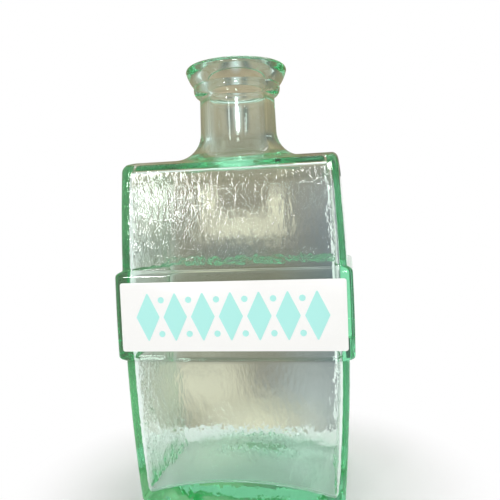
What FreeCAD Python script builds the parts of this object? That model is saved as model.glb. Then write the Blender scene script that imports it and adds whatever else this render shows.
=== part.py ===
"""Moulded glass bottle: a flat-sided body with bowed flanks, a raised belt round its middle,
a short flared neck with a bead and a funnel lip, and a fired enamel label on the belt's front.

Frame: millimetres, +Z up, origin at the middle of the base, label facing -Y.
"""

import FreeCAD, Part
import math
import os

import Sketcher

OUT_FOLDER = "parts"

# A sketch numbers the points of a line or arc in this order, and its axes from -1 down
POINT_NAMES = ["edge", "start", "end", "centre"]
START = POINT_NAMES.index("start")
END = POINT_NAMES.index("end")
CENTRE = POINT_NAMES.index("centre")
ORIGIN_POINT = (-1, START)
VERTICAL_AXIS = ORIGIN_POINT[0] - 1

# Driving dimensions: alias, value, what it is
DRIVING = [
    ("overall_height", 219.9, "base to the top of the lip"),
    ("body_half_width", 55.0, "half the body's width at its widest level"),
    ("body_depth", 76.0, "front face to back face"),
    ("bow_radius", 912.0, "radius of the bowed flanks in the front view"),
    ("bow_level", 94.0, "height at which the flanks are widest"),
    ("neck_rise", 51.9, "straight front and back shoulder edges to the top of the lip"),
    ("shoulder_crown", 4.5, "rise of the shoulder's ridge above those edges"),
    ("edge_radius", 3.0, "rounding of the body's outer edges"),
    ("belt_bottom", 73.5, "height of the belt's lower edge"),
    ("belt_height", 43.5, "belt, lower edge to upper edge"),
    ("belt_raise", 2.6, "how far the belt stands out of the body"),
    ("belt_edge_radius", 2.4, "rounding of the belt's edges"),
    ("neck_radius", 19.6, "outside of the neck under the bead"),
    ("neck_taper", 0.6, "how much wider the neck is at its foot"),
    ("neck_flare", 14.0, "concave rounding from the neck into the shoulder"),
    ("bead_height", 5.8, "bead, its foot to the pinch above it"),
    ("bead_round", 4.6, "radius of the bead's profile"),
    ("pinch_radius", 22.4, "outside of the pinch between bead and funnel"),
    ("funnel_height", 7.8, "funnel lip, the pinch to its widest level"),
    ("funnel_round", 20.0, "radius of the funnel's bulging profile"),
    ("lip_radius", 26.3, "outside of the lip"),
    ("lip_round", 2.3, "rounding of the lip's outer edge"),
    ("side_wall", 3.2, "glass at the flanks"),
    ("front_wall", 4.0, "glass at the front and back"),
    ("shoulder_wall", 3.6, "glass at the shoulder"),
    ("base_wall", 4.6, "glass under the floor's ends"),
    ("floor_arch", 7.0, "rise of the arched floor at the middle"),
    ("inner_edge_radius", 3.0, "rounding of the cavity's edges"),
    ("inner_flare", 13.0, "rounding from the cavity's roof into the bore"),
    ("bore_radius", 14.8, "inside of the neck"),
    ("mouth_depth", 13.5, "depth of the flared mouth above the straight bore"),
    ("mouth_radius", 22.6, "inside of the mouth at the top"),
    ("mouth_round", 20.0, "radius of the mouth's curved wall"),
    ("kick_radius", 30.0, "radius of the round push-up under the base"),
    ("kick_rise", 1.2, "rise of that push-up"),
    ("label_width", 108.8, "white enamel panel, side to side"),
    ("label_height", 33.5, "white enamel panel, bottom to top"),
    ("label_lift", 4.9, "belt's lower edge to the panel's lower edge"),
    ("label_corner", 1.2, "rounding of the panel's corners"),
    ("ground_thickness", 0.20, "white enamel layer"),
    ("print_thickness", 0.12, "turquoise enamel layer"),
    ("enamel_seat", 0.02, "clearance under each enamel layer"),
    ("lozenge_count", 7, "lozenges in the row"),
    ("lozenge_pitch", 13.6, "lozenge centre to centre"),
    ("lozenge_width", 11.6, "lozenge, side to side"),
    ("lozenge_height", 24.0, "lozenge, point to point"),
    ("dot_radius", 1.5, "dots between the lozenges"),
    ("dot_offset", 8.2, "dot centres above and below the row's middle"),
]


class Size:
    """A dimension as a number and as the expression that binds it to the sheet."""

    def __init__(self, value, text):
        self.value = float(value)
        self.text = text

    def _joined(self, other, sign, value):
        return Size(value, f"({self.text} {sign} {as_size(other).text})")

    def __add__(self, other):
        return self._joined(other, "+", self.value + as_size(other).value)

    def __sub__(self, other):
        return self._joined(other, "-", self.value - as_size(other).value)

    def __mul__(self, other):
        return self._joined(other, "*", self.value * as_size(other).value)

    def __truediv__(self, other):
        return self._joined(other, "/", self.value / as_size(other).value)

    def __neg__(self):
        return Size(-self.value, f"(0 - {self.text})")


def as_size(number):
    """A Size as it is, or a plain number as a Size."""
    return number if isinstance(number, Size) else Size(number, repr(float(number)))


def root_of(size):
    return Size(math.sqrt(size.value), f"sqrt({size.text})")


def lesser(first, second):
    return Size(min(first.value, second.value), f"min({first.text}; {second.text})")


def make_sheet(doc):
    """Writes the driving dimensions to the sheet and returns them by name."""
    sheet = doc.addObject("Spreadsheet::Sheet", "Sizes")
    sizes = {}
    for row, (alias, value, note) in enumerate(DRIVING, start=1):
        sheet.set(f"A{row}", alias)
        sheet.set(f"B{row}", str(value))
        sheet.set(f"C{row}", note)
        sheet.setAlias(f"B{row}", alias)
        sizes[alias] = Size(value, f"Sizes.{alias}")
    doc.recompute()
    return sizes


class Curve:
    """A round stretch of an outline: its radius, and the side on which its centre lies."""

    def __init__(self, radius, centre_on_left):
        self.radius = radius
        self.centre_on_left = centre_on_left


def arc_through(first, last, curve):
    """Part's arc from first to last, and whether it runs from first to last."""
    (x0, y0), (x1, y1) = first, last
    radius = curve.radius.value
    chord = math.hypot(x1 - x0, y1 - y0)
    reach = math.sqrt(max(radius * radius - chord * chord / 4, 0.0))
    side = 1 if curve.centre_on_left else -1
    centre_x = (x0 + x1) / 2 - side * reach * (y1 - y0) / chord
    centre_y = (y0 + y1) / 2 + side * reach * (x1 - x0) / chord
    circle = Part.Circle(FreeCAD.Vector(centre_x, centre_y, 0), FreeCAD.Vector(0, 0, 1), radius)
    from_first = math.atan2(y0 - centre_y, x0 - centre_x)
    from_last = math.atan2(y1 - centre_y, x1 - centre_x)
    if curve.centre_on_left:
        return Part.ArcOfCircle(circle, from_first, from_last), True
    return Part.ArcOfCircle(circle, from_last, from_first), False


def bind(sketch, constraint, size):
    """Adds a constraint whose value follows the sheet."""
    index = sketch.addConstraint(constraint)
    sketch.setExpression(f"Constraints[{index}]", size.text)


def pin_point(sketch, geometry, end, across, along):
    """Holds one end of a line or arc at two sizes from the sketch's origin."""
    if across.value == 0:
        sketch.addConstraint(Sketcher.Constraint("PointOnObject", geometry, end, VERTICAL_AXIS))
    else:
        bind(sketch, Sketcher.Constraint("DistanceX", *ORIGIN_POINT, geometry, end, across.value), across)
    bind(sketch, Sketcher.Constraint("DistanceY", *ORIGIN_POINT, geometry, end, along.value), along)


def draw_outline(sketch, corners, curves=None):
    """Draws a closed outline through corners. curves gives, by corner number, the round
    stretch that starts there; the other stretches are straight."""
    curves = curves or {}
    corners = [(as_size(across), as_size(along)) for across, along in corners]
    ends = []
    for number, (across, along) in enumerate(corners):
        following = corners[(number + 1) % len(corners)]
        first = (across.value, along.value)
        last = (following[0].value, following[1].value)
        if number in curves:
            shape, forwards = arc_through(first, last, curves[number])
            geometry = sketch.addGeometry(shape, False)
            ends.append((geometry, START, END) if forwards else (geometry, END, START))
            bind(sketch, Sketcher.Constraint("Radius", geometry, shape.Radius), curves[number].radius)
        else:
            line = Part.LineSegment(FreeCAD.Vector(*first, 0), FreeCAD.Vector(*last, 0))
            ends.append((sketch.addGeometry(line, False), START, END))
    for number, (geometry, begin, _) in enumerate(ends):
        before, _, finish = ends[number - 1]
        sketch.addConstraint(Sketcher.Constraint("Coincident", before, finish, geometry, begin))
        pin_point(sketch, geometry, begin, *corners[number])


def draw_circle(sketch, across, along, radius):
    centre = FreeCAD.Vector(across.value, along.value, 0)
    circle = Part.Circle(centre, FreeCAD.Vector(0, 0, 1), radius.value)
    geometry = sketch.addGeometry(circle, False)
    bind(sketch, Sketcher.Constraint("Radius", geometry, radius.value), radius)
    pin_point(sketch, geometry, CENTRE, across, along)


def new_body(doc, name):
    body = doc.addObject("PartDesign::Body", name)
    body.Label = name
    return body


def new_sketch(body, name, plane):
    """An empty sketch on one of the body's own origin planes."""
    sketch = body.newObject("Sketcher::SketchObject", name)
    support = next(f for f in body.Origin.OriginFeatures if f.Role == plane)
    sketch.AttachmentSupport = [(support, "")]
    sketch.MapMode = "FlatFace"
    return sketch


def sweep_both_ways(body, kind, sketch, name, length):
    """Pads or pockets a sketch by length, half to each side of its plane."""
    feature = body.newObject(f"PartDesign::{kind}", name)
    feature.Profile = sketch
    feature.SideType = "Symmetric"
    feature.setExpression("Length", length.text)
    body.Document.recompute()
    return feature


def round_edges(body, base, name, edges, radius):
    feature = body.newObject("PartDesign::Fillet", name)
    feature.Base = (base, edges)
    feature.setExpression("Radius", radius.text)
    body.Document.recompute()
    return feature


def revolve(body, sketch, name):
    feature = body.newObject("PartDesign::Revolution", name)
    feature.Profile = sketch
    feature.ReferenceAxis = (sketch, ["V_Axis"])
    body.Document.recompute()
    return feature


def every_edge(feature):
    return [f"Edge{number}" for number in range(1, len(feature.Shape.Edges) + 1)]


def edge_round_neck(feature, radius, lowest, highest):
    """The closed edge round the Z axis, of about that radius, between two heights."""
    for number, edge in enumerate(feature.Shape.Edges, start=1):
        box = edge.BoundBox
        wide = abs(box.XLength / 2 - radius) < radius / 10
        deep = abs(box.YLength / 2 - radius) < radius / 10
        if wide and deep and lowest < box.ZMin and box.ZMax < highest:
            return [f"Edge{number}"]
    raise RuntimeError("the neck meets the shoulder in no closed edge")


def shoulder_level(sizes):
    return sizes["overall_height"] - sizes["neck_rise"]


def bow_half_width(sizes, level, outward):
    """Half the width between the flanks at a height, moved outward by a distance."""
    radius = sizes["bow_radius"] + outward
    above = level - sizes["bow_level"]
    return sizes["body_half_width"] - sizes["bow_radius"] + root_of(radius * radius - above * above)


def crown_radius(sizes):
    half_depth = sizes["body_depth"] / 2
    crown = sizes["shoulder_crown"]
    return (half_depth * half_depth + crown * crown) / (crown * 2)


def crowned_block(body, sizes, outward, depth, floor, arch, shoulder):
    """A block with bowed flanks and a crowned roof, moved outward from the body's faces."""
    half_depth = depth / 2
    bow = sizes["bow_radius"] + outward
    top = shoulder_level(sizes) + sizes["shoulder_crown"] + sizes["edge_radius"]
    foot_x = bow_half_width(sizes, floor, outward)
    top_x = bow_half_width(sizes, top, outward)
    front = new_sketch(body, f"{body.Name}_front_view", "XZ_Plane")
    flanks = {1: Curve(bow, True), 3: Curve(bow, True)}
    if arch is not None:
        flanks[0] = Curve((foot_x * foot_x + arch * arch) / (arch * 2), False)
    draw_outline(front, [(-foot_x, floor), (foot_x, floor), (top_x, top), (-top_x, top)], flanks)
    sweep_both_ways(body, "Pad", front, f"{body.Name}_block", depth)

    beyond = half_depth + sizes["edge_radius"]
    over = top + sizes["edge_radius"]
    side = new_sketch(body, f"{body.Name}_side_view", "YZ_Plane")
    waste = [
        (-half_depth, shoulder),
        (half_depth, shoulder),
        (beyond, shoulder),
        (beyond, over),
        (-beyond, over),
        (-beyond, shoulder),
    ]
    draw_outline(side, waste, {0: Curve(crown_radius(sizes), False)})
    across = (sizes["body_half_width"] + sizes["belt_raise"]) * 2
    return sweep_both_ways(body, "Pocket", side, f"{body.Name}_crown", across)


def make_outside(doc, sizes):
    """The bottle's outer form without its belt: crowned body, neck, bead and funnel lip."""
    body = new_body(doc, "bottle_outside")
    shoulder = shoulder_level(sizes)
    block = crowned_block(body, sizes, as_size(0), sizes["body_depth"], as_size(0), None, shoulder)
    rounded = round_edges(body, block, "outer_edges", every_edge(block), sizes["edge_radius"])

    kick = new_sketch(body, "kick_view", "XZ_Plane")
    kick_radius = sizes["kick_radius"]
    rise = sizes["kick_rise"]
    dome = (kick_radius * kick_radius + rise * rise) / (rise * 2)
    below = -sizes["edge_radius"]
    draw_outline(
        kick,
        [(0, rise), (0, below), (kick_radius, below), (kick_radius, 0)],
        {3: Curve(dome, True)},
    )
    groove = body.newObject("PartDesign::Groove", "kick")
    groove.Profile = kick
    groove.ReferenceAxis = (kick, ["V_Axis"])
    doc.recompute()
    if groove.Shape.Volume >= rounded.Shape.Volume:
        raise RuntimeError("the push-up cut nothing from the base")

    root = shoulder - sizes["edge_radius"] * 2
    foot = sizes["neck_radius"] + sizes["neck_taper"]
    lip = sizes["lip_radius"]
    lip_round = sizes["lip_round"]
    top = sizes["overall_height"]
    widest = top - lip_round
    pinch = widest - sizes["funnel_height"]
    bead = pinch - sizes["bead_height"]
    profile = new_sketch(body, "neck_view", "XZ_Plane")
    draw_outline(
        profile,
        [
            (0, root),
            (foot, root),
            (sizes["neck_radius"], bead),
            (sizes["pinch_radius"], pinch),
            (lip, widest),
            (lip - lip_round, top),
            (0, top),
        ],
        {
            2: Curve(sizes["bead_round"], True),
            3: Curve(sizes["funnel_round"], True),
            4: Curve(lip_round, True),
        },
    )
    neck = revolve(body, profile, "neck")
    seam = edge_round_neck(neck, foot.value, shoulder.value - sizes["edge_radius"].value, bead.value)
    room = sizes["body_depth"] / 2 - sizes["edge_radius"] - foot
    round_edges(body, neck, "neck_flare", seam, lesser(sizes["neck_flare"], room - sizes["lip_round"] / 4))
    return body


def make_belt(doc, sizes):
    """The raised belt, a block that stands out of all four sides of the body."""
    body = new_body(doc, "belt")
    raise_by = sizes["belt_raise"]
    low = sizes["belt_bottom"]
    high = low + sizes["belt_height"]
    low_x = bow_half_width(sizes, low, raise_by)
    high_x = bow_half_width(sizes, high, raise_by)
    bow = sizes["bow_radius"] + raise_by
    sketch = new_sketch(body, "belt_view", "XZ_Plane")
    draw_outline(
        sketch,
        [(-low_x, low), (low_x, low), (high_x, high), (-high_x, high)],
        {1: Curve(bow, True), 3: Curve(bow, True)},
    )
    block = sweep_both_ways(body, "Pad", sketch, "belt_block", sizes["body_depth"] + raise_by * 2)
    round_edges(body, block, "belt_edges", every_edge(block), sizes["belt_edge_radius"])
    return body


def make_inside(doc, sizes):
    """The cavity as a solid: the body's hollow with its arched floor, the bore and the mouth."""
    body = new_body(doc, "bottle_inside")
    depth = sizes["body_depth"] - sizes["front_wall"] * 2
    roof = shoulder_level(sizes) - sizes["shoulder_wall"]
    block = crowned_block(
        body, sizes, -sizes["side_wall"], depth, sizes["base_wall"], sizes["floor_arch"], roof
    )
    round_edges(body, block, "inner_edges", every_edge(block), sizes["inner_edge_radius"])

    bore = sizes["bore_radius"]
    top = sizes["overall_height"]
    straight_top = top - sizes["mouth_depth"]
    root = roof - sizes["inner_edge_radius"] * 2
    over = top + sizes["lip_round"]
    profile = new_sketch(body, "bore_view", "XZ_Plane")
    draw_outline(
        profile,
        [
            (0, root),
            (bore, root),
            (bore, straight_top),
            (sizes["mouth_radius"], top),
            (sizes["mouth_radius"], over),
            (0, over),
        ],
        {2: Curve(sizes["mouth_round"], False)},
    )
    neck = revolve(body, profile, "bore")
    seam = edge_round_neck(neck, bore.value, root.value, straight_top.value)
    room = depth / 2 - sizes["inner_edge_radius"] - bore
    round_edges(body, neck, "inner_flare", seam, lesser(sizes["inner_flare"], room - sizes["lip_round"] / 4))
    return body


def make_glass(doc, sizes):
    """The bottle itself: outside and belt in one piece of glass, less the cavity."""
    fused = doc.addObject("Part::Fuse", "bottle_form")
    fused.Base = make_outside(doc, sizes)
    fused.Tool = make_belt(doc, sizes)
    glass = doc.addObject("Part::Cut", "glass_bottle")
    glass.Base = fused
    glass.Tool = make_inside(doc, sizes)
    glass.Label = "glass_bottle"
    doc.recompute()
    if glass.Shape.Volume >= fused.Shape.Volume:
        raise RuntimeError("the cavity was not cut out")
    return glass


def enamel_layer(doc, name, sizes, under, thickness, draw):
    """A thin enamel layer on the belt's front, drawn by draw, over what lies under it."""
    body = new_body(doc, name)
    body.AllowCompound = True
    sketch = new_sketch(body, f"{name}_view", "XZ_Plane")
    draw(sketch)
    layer = body.newObject("PartDesign::Pad", f"{name}_layer")
    layer.Profile = sketch
    layer.setExpression("Length", thickness.text)
    face = sizes["body_depth"] / 2 + sizes["belt_raise"] + under + sizes["enamel_seat"]
    body.setExpression("Placement.Base.y", (-face).text)
    doc.recompute()
    return body


def label_middle(sizes):
    return sizes["belt_bottom"] + sizes["label_lift"] + sizes["label_height"] / 2


def make_label_ground(doc, sizes):
    """The white enamel panel, a rectangle with rounded corners."""
    half = sizes["label_width"] / 2
    corner = sizes["label_corner"]
    low = sizes["belt_bottom"] + sizes["label_lift"]
    high = low + sizes["label_height"]
    corners = [
        (-half + corner, low),
        (half - corner, low),
        (half, low + corner),
        (half, high - corner),
        (half - corner, high),
        (-half + corner, high),
        (-half, high - corner),
        (-half, low + corner),
    ]
    rounds = {number: Curve(corner, True) for number in (1, 3, 5, 7)}

    def draw(sketch):
        draw_outline(sketch, corners, rounds)

    return enamel_layer(doc, "label_ground", sizes, as_size(0), sizes["ground_thickness"], draw)


def make_label_lozenges(doc, sizes):
    """The row of turquoise lozenges along the middle of the panel."""
    count = round(sizes["lozenge_count"].value)
    half_width = sizes["lozenge_width"] / 2
    half_height = sizes["lozenge_height"] / 2
    middle = label_middle(sizes)

    def draw(sketch):
        for number in range(count):
            centre = sizes["lozenge_pitch"] * (number - (count - 1) / 2)
            points = [
                (centre, middle - half_height),
                (centre + half_width, middle),
                (centre, middle + half_height),
                (centre - half_width, middle),
            ]
            draw_outline(sketch, points)

    under = sizes["ground_thickness"] + sizes["enamel_seat"]
    return enamel_layer(doc, "label_lozenges", sizes, under, sizes["print_thickness"], draw)


def make_label_dots(doc, sizes):
    """The turquoise dots above and below the middle, one pair in each gap of the row."""
    count = round(sizes["lozenge_count"].value)
    middle = label_middle(sizes)

    def draw(sketch):
        for number in range(count - 1):
            centre = sizes["lozenge_pitch"] * (number - (count - 2) / 2)
            for way in (-1, 1):
                draw_circle(sketch, centre, middle + sizes["dot_offset"] * way, sizes["dot_radius"])

    under = sizes["ground_thickness"] + sizes["enamel_seat"]
    return enamel_layer(doc, "label_dots", sizes, under, sizes["print_thickness"], draw)


def check_document(doc, parts):
    """Stops the build if any object failed or any sub-part isn't a sound solid."""
    failed = [o.Name for o in doc.Objects if "Invalid" in o.State or "Error" in o.State]
    if failed:
        raise RuntimeError(f"objects failed: {failed}")
    for part in parts:
        shape = part.Shape
        if shape.isNull() or not shape.isValid() or not shape.Solids:
            raise RuntimeError(f"{part.Label} is not a valid solid")


def main():
    doc = FreeCAD.newDocument("glass_bottle_with_label")
    sizes = make_sheet(doc)
    parts = [
        make_glass(doc, sizes),
        make_label_ground(doc, sizes),
        make_label_lozenges(doc, sizes),
        make_label_dots(doc, sizes),
    ]
    doc.recompute()
    check_document(doc, parts)
    os.makedirs(OUT_FOLDER, exist_ok=True)
    for part in parts:
        part.Shape.exportStep(os.path.join(OUT_FOLDER, f"{part.Label}.step"))
        box = part.Shape.BoundBox
        spans = ", ".join(f"{span:.2f}" for span in (box.XLength, box.YLength, box.ZLength))
        print(f"{part.Label}: {len(part.Shape.Solids)} solid(s), {spans} mm, {part.Shape.Volume:.1f} mm3")


main()
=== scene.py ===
"""Pale green moulded glass bottle with a raised belt, hammered panels and a fired enamel label."""

import math

import bpy
import numpy as np
from bpy.props import FloatProperty, FloatVectorProperty, IntProperty, PointerProperty
from mathutils import Matrix, Vector


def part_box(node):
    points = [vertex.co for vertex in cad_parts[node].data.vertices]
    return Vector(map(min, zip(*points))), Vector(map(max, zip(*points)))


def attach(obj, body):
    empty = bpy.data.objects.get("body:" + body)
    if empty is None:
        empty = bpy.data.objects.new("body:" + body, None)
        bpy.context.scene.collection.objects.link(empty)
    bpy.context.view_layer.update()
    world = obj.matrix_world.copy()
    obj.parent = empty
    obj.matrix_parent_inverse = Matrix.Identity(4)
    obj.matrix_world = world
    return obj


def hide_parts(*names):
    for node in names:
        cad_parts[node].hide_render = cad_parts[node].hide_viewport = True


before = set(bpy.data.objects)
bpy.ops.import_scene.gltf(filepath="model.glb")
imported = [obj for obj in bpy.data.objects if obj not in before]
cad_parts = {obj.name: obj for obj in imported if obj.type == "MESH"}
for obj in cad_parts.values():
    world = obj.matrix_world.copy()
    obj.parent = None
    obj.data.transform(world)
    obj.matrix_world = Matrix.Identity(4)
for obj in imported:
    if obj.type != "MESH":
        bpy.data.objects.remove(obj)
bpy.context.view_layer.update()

bl_info = {
    "name": "Glass Bottle with Enamel Label",
    "version": (1, 0, 0),
    "blender": (4, 5, 0),
    "location": "3D View > Sidebar > Bottle",
    "description": "Builds a moulded glass bottle, its enamel label and a plain stage",
    "category": "Object",
}

MM = 0.001
_, GLASS_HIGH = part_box("glass_bottle")
GROUND_LOW, GROUND_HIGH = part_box("label_ground")
ROW_LOW, ROW_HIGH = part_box("label_lozenges")
DOTS_LOW, DOTS_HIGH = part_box("label_dots")


def length(name, default, description):
    """A property for one size, in metres."""
    return FloatProperty(
        name=name, description=description, default=default, min=0.0, precision=5, unit="LENGTH"
    )


def colour(name, default, description):
    """A property for one colour."""
    return FloatVectorProperty(
        name=name, description=description, default=default, min=0.0, max=1.0, size=3, subtype="COLOR"
    )


class BottleSizes(bpy.types.PropertyGroup):
    """Sizes of the glass, from the frame where the frame shows them."""

    height: length("Height", GLASS_HIGH.z, "Base to the top of the lip")
    belt_half_width: length("Belt Half Width", GLASS_HIGH.x, "Middle to the belt's flank")
    belt_half_depth: length("Belt Half Depth", GLASS_HIGH.y, "Middle to the belt's front face")
    belt_raise: length("Belt Raise", 2.6 * MM, "How far the belt stands out of the body")
    belt_low: length("Belt Low", 73.5 * MM, "Height of the belt's lower edge")
    belt_high: length("Belt High", 117.0 * MM, "Height of the belt's upper edge")
    belt_edge: length("Belt Edge", 2.4 * MM, "Rounding of the belt's edges")
    belt_root: length("Belt Root", 0.9 * MM, "Hollow rounding where the belt leaves the body")
    bow_radius: length("Bow Radius", 912.0 * MM, "Radius of the bowed flanks")
    bow_level: length("Bow Level", 94.0 * MM, "Height at which the flanks are widest")
    shoulder: length("Shoulder", 168.0 * MM, "Height of the front shoulder edge")
    crown: length("Crown", 4.5 * MM, "Rise of the shoulder's ridge over its front edge")
    edge: length("Edge", 3.0 * MM, "Rounding of the body's edges")
    neck_radius: length("Neck Radius", 19.6 * MM, "Outside of the neck under the bead")
    neck_foot: length("Neck Foot", 20.0 * MM, "Outside of the neck above its flare")
    flare: length("Flare", 14.0 * MM, "Hollow rounding from the neck into the shoulder")
    bead_foot: length("Bead Foot", 204.0 * MM, "Height at which the bead leaves the neck")
    bead_round: length("Bead Round", 4.6 * MM, "Radius of the bead's profile")
    pinch_level: length("Pinch Level", 209.8 * MM, "Height of the pinch over the bead")
    pinch_radius: length("Pinch Radius", 22.4 * MM, "Outside of that pinch")
    funnel_round: length("Funnel Round", 20.0 * MM, "Radius of the funnel's bulging profile")
    lip_radius: length("Lip Radius", 26.3 * MM, "Outside of the lip")
    lip_round: length("Lip Round", 2.3 * MM, "Rounding of the lip's outer edge")
    mouth_radius: length("Mouth Radius", 22.6 * MM, "Inside of the mouth at the top")
    mouth_depth: length("Mouth Depth", 13.5 * MM, "Depth of the mouth over the straight bore")
    mouth_round: length("Mouth Round", 20.0 * MM, "Radius of the mouth's curved wall")
    bore: length("Bore", 14.8 * MM, "Inside of the neck")
    inner_flare: length("Inner Flare", 13.0 * MM, "Rounding from the bore into the cavity's roof")
    side_wall: length("Side Wall", 3.2 * MM, "Glass at the flanks")
    front_wall: length("Front Wall", 4.0 * MM, "Glass at the front and back")
    roof_wall: length("Roof Wall", 3.6 * MM, "Glass at the shoulder")
    floor_level: length("Floor Level", 4.6 * MM, "Height of the cavity floor's ends")
    floor_arch: length("Floor Arch", 7.0 * MM, "Rise of the cavity floor at its middle")
    inner_edge: length("Inner Edge", 3.0 * MM, "Rounding of the cavity's edges")
    kick_radius: length("Kick Radius", 30.0 * MM, "Radius of the push-up under the base")
    kick_rise: length("Kick Rise", 1.2 * MM, "Rise of that push-up")
    ripple_height: length("Ripple Height", 0.12 * MM, "Relief of the hammered panels")
    ripple_size: length("Ripple Size", 3.4 * MM, "Spacing of the hammer marks")
    wave_height: length("Wave Height", 0.25 * MM, "Unevenness of the inner wall")
    wave_size: length("Wave Size", 22.0 * MM, "Spacing of that unevenness")


class LabelSizes(bpy.types.PropertyGroup):
    """Sizes of the enamel, from the frame where the frame shows them."""

    corner: length("Corner", 1.2 * MM, "Rounding of the panel's corners")
    rim: length("Rim", 0.12 * MM, "Softened edge of an enamel layer")
    count: IntProperty(name="Lozenges", description="Lozenges in the row", default=7, min=2)
    lozenge_width: length("Lozenge Width", 11.6 * MM, "Lozenge, side to side")
    lozenge_height: length("Lozenge Height", ROW_HIGH.z - ROW_LOW.z, "Lozenge, point to point")
    dot_radius: length("Dot Radius", 1.5 * MM, "Dots between the lozenges")


class FinishColours(bpy.types.PropertyGroup):
    """Colours of the glass and the enamels."""

    glass_tint: colour("Glass Tint", (0.22, 0.84, 0.55), "Colour that thick glass leaves in the light")
    glass_depth: FloatProperty(
        name="Glass Depth", description="How fast the tint deepens, per metre", default=24.0, min=0.0
    )
    white: colour("White Enamel", (0.93, 0.93, 0.92), "The label's ground")
    turquoise: colour("Turquoise Enamel", (0.40, 0.90, 0.84), "The label's lozenges and dots")


class StageSettings(bpy.types.PropertyGroup):
    """Camera, lamps and backdrop."""

    camera_place: FloatVectorProperty(
        name="Camera", description="Where the camera stands", default=(0.05683, -0.31206, 0.14203),
        size=3, subtype="TRANSLATION", unit="LENGTH",
    )
    camera_heading: FloatProperty(
        name="Heading", description="Turn of the camera about the vertical", default=math.radians(9.7),
        subtype="ANGLE",
    )
    camera_pitch: FloatProperty(
        name="Pitch", description="How far the camera looks down", default=math.radians(3.3),
        subtype="ANGLE",
    )
    camera_roll: FloatProperty(
        name="Roll", description="Turn of the camera about its view", default=math.radians(2.37),
        subtype="ANGLE",
    )
    lens: FloatProperty(name="Lens", description="Focal length in millimetres", default=42.64, min=1.0)


# Meshes


def mesh_object(name, vertices, faces):
    """A smooth mesh object at the origin, linked to the scene."""
    mesh = bpy.data.meshes.new(name)
    mesh.from_pydata([tuple(v) for v in vertices], [], faces)
    mesh.validate()
    mesh.polygons.foreach_set("use_smooth", [True] * len(mesh.polygons))
    piece = bpy.data.objects.new(name, mesh)
    bpy.context.scene.collection.objects.link(piece)
    return piece


def settle(piece, node):
    """Lets a finished piece stand for a node of the frame."""
    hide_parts(node)
    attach(piece, "root")


# The glass as rings of points, from the base's middle over the outside and the lip to the floor's middle

FRONT_STEPS = 80
SIDE_STEPS = 54
CORNER_STEPS = 6
LOWER_RINGS = 52
UPPER_RINGS = 38
INNER_RINGS = 26


def rounded_section(half_width, half_depth, corner):
    """Points round a rectangle with round corners, from its front left over the front."""
    w = half_width - corner
    d = half_depth - corner
    across = np.arange(FRONT_STEPS) / FRONT_STEPS
    along = np.arange(SIDE_STEPS) / SIDE_STEPS
    quarter = np.arange(CORNER_STEPS) / CORNER_STEPS * math.pi / 2
    stretches = []
    sides = [
        ((-w, -half_depth), (w, -half_depth), across, (w, -d), -math.pi / 2),
        ((half_width, -d), (half_width, d), along, (w, d), 0.0),
        ((w, half_depth), (-w, half_depth), across, (-w, d), math.pi / 2),
        ((-half_width, d), (-half_width, -d), along, (-w, -d), math.pi),
    ]
    for first, last, steps, centre, start in sides:
        stretches.append(np.outer(1 - steps, first) + np.outer(steps, last))
        angles = start + quarter
        stretches.append(np.array(centre) + corner * np.column_stack([np.cos(angles), np.sin(angles)]))
    return np.vstack(stretches)


def corner_fade():
    """1 on the flat stretches of a section, falling to a third round its corners."""
    fades = []
    for steps in (FRONT_STEPS, SIDE_STEPS, FRONT_STEPS, SIDE_STEPS):
        from_end = np.minimum(np.arange(steps), steps - np.arange(steps))
        fades.append(np.clip(0.35 + from_end / 4, 0.0, 1.0))
        fades.append(np.full(CORNER_STEPS, 0.35))
    return np.concatenate(fades)


def round_section(like, radius):
    """Points round a circle, spaced as the points of another section are."""
    steps = np.linalg.norm(np.roll(like, -1, axis=0) - like, axis=1)
    turn = np.concatenate([[0.0], np.cumsum(steps)[:-1]]) / steps.sum() * 2 * math.pi
    middle = turn[FRONT_STEPS // 2]
    angles = turn - middle - math.pi / 2
    return radius * np.column_stack([np.cos(angles), np.sin(angles)])


def profile_arc(first, last, radius, count, centre_on_left=True):
    """Points (radius, height) on an arc from first to last, without the first."""
    first, last = np.array(first), np.array(last)
    chord = last - first
    span = np.linalg.norm(chord)
    side = 1 if centre_on_left else -1
    reach = math.sqrt(max(radius * radius - span * span / 4, 0.0))
    centre = (first + last) / 2 + side * reach * np.array([-chord[1], chord[0]]) / span
    start = math.atan2(*(first - centre)[::-1])
    sweep = (math.atan2(*(last - centre)[::-1]) - start) * side % (2 * math.pi) * side
    angles = start + sweep * np.arange(1, count + 1) / count
    return centre + radius * np.column_stack([np.cos(angles), np.sin(angles)])


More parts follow.
